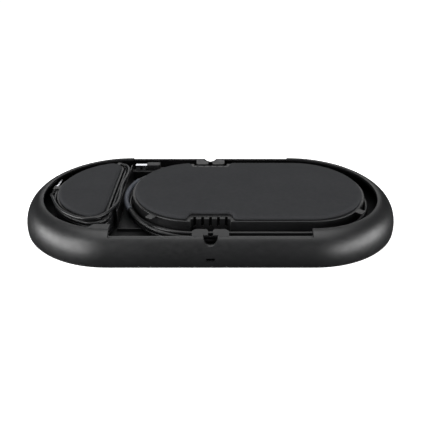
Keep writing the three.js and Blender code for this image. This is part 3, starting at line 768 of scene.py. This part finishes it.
def front_stations():
    """Places along the front wall, closer together round the notch and the ends of the lip."""
    notch_end = math.degrees(math.acos((NOTCH_Z - LIP_Z) / NOTCH_RADIUS))
    notch = [NOTCH_RADIUS * math.sin(math.radians(notch_end * i / 14)) for i in range(15)]
    foot, crown, tiny, clear = LIP_FOOT, LIP_CROWN, 0.0005, 0.1
    ends = [LIP_END_X - foot + foot * math.sin(math.radians(15 * i)) for i in range(7)]
    ends[-1] -= tiny
    ends += [LIP_END_X + tiny + crown * (1 - math.cos(math.radians(22.5 * i))) for i in range(5)]
    span, parts = LIP_END_X - foot - NOTCH_RADIUS - clear, 11
    plain = [NOTCH_RADIUS + clear + span * i / parts for i in range(parts)]
    half = sorted([*notch[1:], *plain, *ends])
    return [-x for x in reversed(half)] + [0] + half


def outer_shell():
    stations = [(x, 0, 0, -1, lip_height(x)) for x in front_stations()]
    steps = 100
    for side in (1, -1):
        if side == -1:
            stations += [(-x, 0, 0, 1, lip_height(x)) for x in front_stations()]
        for i in range(steps + 1):
            angle = math.pi * i / steps - math.pi / 2
            out_x, out_y = side * math.cos(angle), side * math.sin(angle)
            stations.append((side * END_X, 0, out_x, out_y, RIM_TOP_Z))
    rings = []
    for x, y, out_x, out_y, top in stations:
        rings.append([(x + out_x * r, y + out_y * r, z) for r, z in shell_profile(top)])
    count = len(rings[0])
    points = [p for ring in rings for p in ring]
    faces = []
    for s in range(len(rings)):
        here, there = s * count, (s + 1) % len(rings) * count
        for k in range(count):
            after = (k + 1) % count
            faces.append((here + k, there + k, there + after, here + after))
    shell = tidy(new_piece("outer_shell_moulded", points, faces))

    def hook(side_x, side_y):
        outline = [(2, 72.2, 0.2), (2, 64.5, 0.6), (3.5, 63, 0.6), (11.9, 63, 1.2),
                   (14.7, 65.4, 1.5), (14.7, 74.6, 0), (5.95, 74.6, 0), (5.95, 72.2, 0)]
        outline = [(x * side_x, y * side_y, r) for x, y, r in outline]
        if side_x * side_y < 0:
            outline.reverse()
        return prism("hook", rounded(outline), LIP_Z - HOOK_THICKNESS, LIP_Z - 0.02, 0.3, 0.2)

    hooks = [hook(x, y) for x in (1, -1) for y in (1, -1)]
    tab_rim = arc(-END_X, 0, RIM_RADIUS + 0.5, 256.5, 270.9, 8)
    tab_left_x, tab_y = -94.2, -61.1
    tab = prism("tab", rounded([
        (-LIP_END_X, tab_y, 0.4), (tab_left_x, tab_y, 1.2), *[(x, y, 0) for x, y in tab_rim],
    ]), RIM_Z - WALL, RIM_Z - 0.03, 0.35, 0.2)
    union(shell, *hooks, tab)
    slot_low, slot_high = box_mm("lock_plate")
    slot_z = (slot_low.z + slot_high.z) / 2 + 1.1
    half_height, half_width = 1.5, 3.5
    cut(shell, cutter("lock_slot", rectangle(
        slot_z - half_height, slot_z + half_height, -half_width, half_width, 0.7),
        -90, -78, turn=across_y))
    dress(shell, SHELL, replaces=["outer_shell"])


outer_shell()


# ---- Cable tray ----
def cable_tray():
    tray = prism("cable_tray_moulded", stadium(-END_X, END_X, FLOOR_RADIUS),
                 FLOOR_BOTTOM_Z, FLOOR_TOP_Z)
    partition_low, partition_high, partition_top = -80.4, -79.2, 24.3
    clearance = 62
    front_y, back_y = -43, 50
    front = math.degrees(math.asin(front_y / clearance))
    back = math.degrees(math.asin(back_y / clearance))
    curve = arc(LARGE_HUB_X, 0, clearance, 180 - front, 180 - back, 24)
    platform_x = partition_high - 0.4
    platform = prism("platform", rounded([
        (platform_x, front_y, 0), *[(x, y, 0) for x, y in curve], (platform_x, back_y, 0),
    ]), FLOOR_TOP_Z - 0.5, PLATFORM_Z, 0.5, SHARP)
    partition_foot = FLOOR_TOP_Z - 0.4
    partition = prism("partition", rounded([
        (-40, partition_foot, 0), (57.5, partition_foot, 0), (57.5, partition_top, 0.8),
        (-36.5, partition_top, 1.5),
    ]), partition_low, partition_high, 0.25, 0.25, turn=across_x)
    rail_top, seat_top, edge = 16.7, 16.65, 0.4
    rail = prism("rail", rectangle(-83, -46, 57.3, 61.4, 0.6), FLOOR_TOP_Z - 0.3, rail_top,
                 edge, SHARP)
    seat = prism("seat", rectangle(-82.7, -67, 60.4, 63.2, 0.5), FLOOR_TOP_Z - 0.2, seat_top,
                 edge, SHARP)
    union(tray, platform, partition, rail, seat)
    opening, top = 50, FLOOR_TOP_Z + OVER
    cut(tray,
        cutter("under_large_hub", stadium(LARGE_HUB_X, END_X, opening), 0, top),
        cutter("under_small_hub", d_outline(opening, -91, 8), 0, top),
        cutter("lock_room", rectangle(-8, 8, -90, -77, 0.8), 0, top))
    dress(tray, TRAY, replaces=["cable_tray"])


cable_tray()


# ---- Hubs ----
def large_hub_outline(radius, comb_y, half, corner):
    """A stadium with a straight recess for the comb in its front and its back."""
    bend = math.degrees(math.asin((half + LARGE_HUB_X) / radius))
    start = 90 + bend + 1.5
    left = arc(LARGE_HUB_X, 0, radius, start, 360 - start, 72)
    right = arc(END_X, 0, radius, -90, 90, 72)
    left_y = radius * math.cos(math.radians(bend))
    return rounded([
        (-half, -left_y, corner), (-half, -comb_y, corner), (half, -comb_y, corner),
        (half, -radius, corner), *[(x, y, 0) for x, y in right], (half, radius, corner),
        (half, comb_y, corner), (-half, comb_y, corner), (-half, left_y, corner),
        *[(x, y, 0) for x, y in left],
    ])


def nub(centre_x, centre_y, degrees, inner, outer, half_width):
    """A thin tab that keeps the wound lead down."""
    angle = math.radians(degrees)
    along, aside = (math.cos(angle), math.sin(angle)), (-math.sin(angle), math.cos(angle))
    corners = [(inner, -half_width, 0), (outer, -half_width, 1.0), (outer, half_width, 1.0),
               (inner, half_width, 0)]
    outline = [
        (centre_x + r * along[0] + w * aside[0], centre_y + r * along[1] + w * aside[1], c)
        for r, w, c in corners
    ]
    top = LEDGE_Z - 0.1
    return prism("nub", rounded(outline), top - 0.8, top, 0.3, 0.2)


def notch_for(node):
    low, high = box_mm(node)
    outline = rectangle(low.x - GAP, high.x + GAP, low.y - GAP, high.y + GAP, 0.4)
    return prism("grommet_notch", outline, 0, high.z + GAP, 0.3, SHARP)


SCREWS = [f"hub_screw_{number}" for number in range(1, 7)]


def screw_seats(names):
    tools = []
    top = LEDGE_Z + OVER
    for name in names:
        x, y = middle_of(name)
        tools.append(cutter("screw_seat", circle(x, y, SCREW_SEAT_RADIUS, 45),
                            LEDGE_Z - SCREW_SEAT_DEPTH, top))
        tools.append(cutter("screw_hole", circle(x, y, SCREW_HOLE_RADIUS, 24), 0, top))
    return tools


def large_hub():
    corner = 0.7
    hub = prism("large_hub_moulded",
                large_hub_outline(LARGE_HUB_RADIUS, COMB_Y, COMB_HALF, corner),
                HUB_BOTTOM_Z, LEDGE_Z, HUB_EDGE, 0.2, 4)
    inner, outer, half_width = LARGE_HUB_RADIUS - 1.9, 63.4, 3.4
    union(hub, *[nub(x, 0, degrees, inner, outer, half_width)
                 for x, degrees in ((LARGE_HUB_X, 233.5), (END_X, -42))])
    comb_wall = 5.4
    cavity = prism("cavity", large_hub_outline(
        LARGE_HUB_RADIUS - WALL, COMB_Y - comb_wall, COMB_HALF + comb_wall / 2, corner),
        0, LEDGE_Z - HUB_PLATE, 0.6, SHARP)
    slots = []
    inner_y, outer_y = COMB_Y - COMB_DEPTH, COMB_Y + 8
    for side in (1, -1):
        low_y, high_y = sorted((side * inner_y, side * outer_y))
        for place in range(-2, 3):
            x = place * COMB_PITCH
            slots.append(prism("comb_slot", rectangle(
                x - COMB_SLOT / 2, x + COMB_SLOT / 2, low_y, high_y, 0.6),
                LEDGE_Z - COMB_HEIGHT, LEDGE_Z + OVER, SHARP, 0.3))
    cut(hub, cavity, join(slots, "comb_slots"), notch_for("usb_grommet"), *screw_seats(SCREWS[:4]))
    dress(hub, HUB, replaces=["large_hub"])


def small_hub():
    corner_x = SMALL_HUB_FLAT_X - SMALL_HUB_CORNER
    corner_y = math.sqrt((SMALL_HUB_RADIUS - SMALL_HUB_CORNER) ** 2 - (corner_x + END_X) ** 2)
    hub = prism("small_hub_moulded",
                d_outline(SMALL_HUB_RADIUS, SMALL_HUB_FLAT_X, SMALL_HUB_CORNER),
                HUB_BOTTOM_Z, LEDGE_Z, HUB_EDGE, 0.2, 4)
    inner, outer, half_width = SMALL_HUB_CORNER - 1.9, 16, 2.6
    union(hub,
          nub(-END_X, SMALL_HUB_Y, 177, SMALL_HUB_RADIUS - 1.2, 63.2, half_width),
          nub(corner_x, SMALL_HUB_Y - corner_y, -36, inner, outer, half_width),
          nub(corner_x, SMALL_HUB_Y + corner_y, 70, inner, outer, half_width))
    cavity = prism("cavity", d_outline(
        SMALL_HUB_RADIUS - WALL, SMALL_HUB_FLAT_X - WALL, SMALL_HUB_CORNER - WALL),
        0, LEDGE_Z - HUB_PLATE, 0.6, SHARP)
    cut(hub, cavity, notch_for("aux_grommet"), *screw_seats(SCREWS[4:]))
    dress(hub, HUB, replaces=["small_hub"])


large_hub()
small_hub()


# ---- Foot pads ----
def foot_pads():
    """The pads, with a broad soft top edge. The large one leaves both combs free."""
    edge, drop, foot, steps = 3.4, 2.3, 0.1, 9
    mouth_corner = 3.9
    slant_x, slant_y, floor_x, floor_y = 17.8, 47.3, 15.8, 45.3
    mouth_x = slant_x + (LARGE_PAD_RADIUS - slant_y) / (58 - slant_y) * (20.5 - slant_x)
    bend = math.degrees(math.asin((mouth_x + LARGE_HUB_X) / LARGE_PAD_RADIUS))
    start = 90 + bend + 5
    left = arc(LARGE_HUB_X, 0, LARGE_PAD_RADIUS, start, 360 - start, 72)
    right = arc(END_X, 0, LARGE_PAD_RADIUS, -90, 90, 72)
    left_y = LARGE_PAD_RADIUS * math.cos(math.radians(bend))
    front = [
        (-mouth_x, -left_y, mouth_corner), (-slant_x, -slant_y, 1), (-floor_x, -floor_y, 1),
        (floor_x, -floor_y, 1), (slant_x, -slant_y, 1), (mouth_x, -LARGE_PAD_RADIUS, mouth_corner),
    ]
    back = [(x, -y, r) for x, y, r in reversed(front)]
    outlines = {
        "large_foot_pad": rounded([*front, *[(x, y, 0) for x, y in right],
                                   *back, *[(x, y, 0) for x, y in left]]),
        "small_foot_pad": d_outline(SMALL_PAD_RADIUS, SMALL_PAD_FLAT_X, SMALL_HUB_CORNER - 1.2),
    }
    for node, outline in outlines.items():
        pad = prism(f"{node}_moulded", outline, PAD_BOTTOM_Z, PAD_TOP_Z, edge, foot, steps,
                    drop=drop)
        dress(pad, PAD, replaces=[node])


foot_pads()


# ---- The face that lies down: cover, grille, keys and light ----
KEYS = ["volume_down_key", "answer_key", "mute_key", "hang_up_key", "volume_up_key"]


def top_cover():
    cover = prism("top_cover_moulded", stadium(-END_X, END_X, BODY_RADIUS, 100), 0, COVER_TOP_Z,
                  0.15, 0.6, 4)
    post_top = LEDGE_Z - HUB_PLATE - GAP
    screw_places = [middle_of(name) for name in SCREWS]
    union(cover, *[
        prism("post", circle(x, y, POST_RADIUS, 36), COVER_TOP_Z / 2, post_top, 0.3, SHARP)
        for x, y in screw_places
    ])
    tools = [
        cutter("pilot", circle(x, y, SCREW_HOLE_RADIUS, 24), PILOT_BOTTOM_Z, post_top + OVER)
        for x, y in screw_places
    ]
    holes = []
    for name in KEYS:
        low, high = box_mm(name)
        holes.append((*middle_of(name), (high.x - low.x) / 2 - KEY_FLANGE_REACH + GAP, 60))
    for name in ("woofer", "tweeter"):
        low, high = box_mm(f"{name}_frame")
        holes.append(((low.x + high.x) / 2, 0, (high.x - low.x) / 2 * SPEAKER_HOLE_SHARE, 72))
    seat_radius = box_mm("speaker_grille")[1].y + GAP
    seat = cutter("grille_seat", stadium(LARGE_HUB_X, END_X, seat_radius), -OVER, GRILLE_SEAT_Z)
    light_radius, microphone_radius = 1.7, 0.8
    microphones = ((0, -75), (0, 75), (-156, 0), (156, 0))
    small_holes = [(middle_of("status_light")[0], 0, light_radius, 24)]
    small_holes += [(x, y, microphone_radius, 18) for x, y in microphones]
    through, small = [
        [cutter("hole", circle(*hole), -OVER, COVER_TOP_Z + OVER) for hole in group]
        for group in (holes, small_holes)
    ]
    cut(cover, *tools, *through, seat, *small)
    dress(cover, COVER, replaces=["top_cover"])


def speaker_grille():
    """A thin steel sheet with rows of round holes, made as a filled flat curve."""
    low, high = box_mm("speaker_grille")
    outline = stadium(LARGE_HUB_X, END_X, high.y)
    pitch, hole, border = 5.2, 1.3, 3.2
    row_pitch = pitch * 0.866
    rows = int((high.y - 3) / row_pitch)
    holes = []
    for row in range(-rows, rows + 1):
        y = row * row_pitch
        reach = math.sqrt((high.y - border) ** 2 - y ** 2)
        first, last = LARGE_HUB_X - reach, END_X + reach
        count = int((last - first) / pitch)
        start = (first + last) / 2 - count * pitch / 2
        holes += [circle(start + k * pitch, y, hole, 8) for k in range(count + 1)]
    data = bpy.data.curves.new("grille", "CURVE")
    data.dimensions = "2D"
    data.fill_mode = "BOTH"
    data.extrude = (high.z - low.z) / 2 * MM
    for points in [outline, *holes]:
        line = data.splines.new("POLY")
        line.points.add(len(points) - 1)
        for point, (x, y) in zip(line.points, points):
            point.co = (x * MM, y * MM, 0, 1)
        line.use_cyclic_u = True
    flat = bpy.data.objects.new("grille", data)
    bpy.context.scene.collection.objects.link(flat)
    bpy.context.view_layer.update()
    shown = flat.evaluated_get(bpy.context.evaluated_depsgraph_get())
    mesh = bpy.data.meshes.new_from_object(shown)
    bpy.data.objects.remove(flat)
    for vertex in mesh.vertices:
        vertex.co.z += (low.z + high.z) / 2 * MM
    piece = bpy.data.objects.new("speaker_grille_punched", mesh)
    bpy.context.scene.collection.objects.link(piece)
    dress(tidy(piece), GRILLE, replaces=["speaker_grille"])


def keys_and_light():
    for name in KEYS:
        low, high = box_mm(name)
        flange = (high.x - low.x) / 2
        radius = flange - KEY_FLANGE_REACH
        seat = COVER_SEAT_Z
        cap = turned(f"{name}_cap", [
            (0.2, low.z + 0.12), (radius * 0.6, low.z + 0.05), (radius - 0.5, low.z),
            (radius - 0.15, low.z + 0.12), (radius, low.z + 0.45), (radius, seat),
            (flange - 0.1, seat), (flange, seat + 0.1), (flange, seat + 0.7), (1.5, seat + 0.7),
            (1.5, high.z - 0.2), (1.3, high.z),
        ], (*middle_of(name), 0), 56)
        dress(cap, KEY, body=name, replaces=[name])
    low, high = box_mm("status_light")
    pipe = turned("status_light_pipe", [
        (0.4, low.z), (1.2, low.z + 0.05), (1.4, low.z + 0.25), (1.4, COVER_SEAT_Z), (2.3, 1.95),
        (2.4, 2.1), (2.4, high.z - 0.15), (2.2, high.z),
    ], ((low.x + high.x) / 2, 0, 0), 32)
    dress(pipe, LIGHT, replaces=["status_light"])


top_cover()
speaker_grille()
keys_and_light()


# ---- CAD nodes that stay as they are ----
def paint(node, material):
    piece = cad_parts[node]
    piece.data.materials.clear()
    piece.data.materials.append(material)


INNER = {
    STEEL: [*SCREWS, "woofer_magnet", "tweeter_magnet", "shield_can"],
    BLACKED: ["lock_plate"],
    FRAME: ["woofer_frame", "tweeter_frame"],
    CONE: ["woofer_cone", "tweeter_cone"],
    BOARD: ["main_board", "key_board", "front_microphone", "back_microphone", "left_microphone",
            "right_microphone"],
    CHIP: ["processor", "amplifier_chip", "left_capacitor", "right_capacitor"],
    RIBBON: ["ribbon_cable"],
}
for finish, names in INNER.items():
    for node_name in names:
        paint(node_name, finish)


# ---- Floor, lights and world ----
def add_floor():
    size = 6
    data = bpy.data.meshes.new("floor")
    data.from_pydata([(-size, -size, 0), (size, -size, 0), (size, size, 0), (-size, size, 0)], [],
                     [(0, 1, 2, 3)])
    floor = bpy.data.objects.new("floor", data)
    bpy.context.scene.collection.objects.link(floor)
    paint_floor = bpy.data.materials.new("floor_white")
    paint_floor.use_nodes = True
    shader = paint_floor.node_tree.nodes["Principled BSDF"]
    shader.inputs["Base Color"].default_value = (0.93, 0.93, 0.93, 1)
    shader.inputs["Roughness"].default_value = 0.9
    shader.inputs["Specular IOR Level"].default_value = 0
    shader.inputs["Emission Color"].default_value = (1, 1, 1, 1)
    shader.inputs["Emission Strength"].default_value = 0.8
    data.materials.append(paint_floor)
    floor.visible_glossy = False
    floor.visible_diffuse = False
    floor.visible_shadow = False


def softbox(name, place, aim, wide, high, watts):
    data = bpy.data.lights.new(name, "AREA")
    data.shape = "RECTANGLE"
    data.size = wide
    data.size_y = high
    data.energy = watts
    lamp = bpy.data.objects.new(name, data)
    lamp.location = place
    lamp.rotation_euler = (Vector(aim) - Vector(place)).to_track_quat("-Z", "Y").to_euler()
    lamp.visible_camera = False
    bpy.context.scene.collection.objects.link(lamp)


def add_lights():
    world = bpy.data.worlds.new("studio")
    world.use_nodes = True
    back = world.node_tree.nodes["Background"]
    back.inputs["Color"].default_value = (1, 1, 1, 1)
    back.inputs["Strength"].default_value = 0.02
    bpy.context.scene.world = world
    softbox("overhead", (0, 0.1, 1.4), (0, 0, 0), 1.6, 1.2, 16)
    softbox("left_side", (-0.95, -0.42, 0.17), (0, 0, 0), 1.2, 0.42, 14)
    softbox("right_side", (0.95, -0.42, 0.17), (0, 0, 0), 1.2, 0.42, 12.5)
    softbox("back_wall", (0, 1.6, 0.8), (0, 0, 0), 2.4, 0.5, 6.5)
    softbox("front_fill", (0, -0.6, 1.3), (0, 0, 0), 1.4, 0.3, 2.2)
    softbox("high_left", (-0.85, -0.7, 0.6), (0, 0, 0), 0.4, 0.3, 4)
    bpy.context.scene.view_settings.view_transform = "Standard"


add_floor()
add_lights()
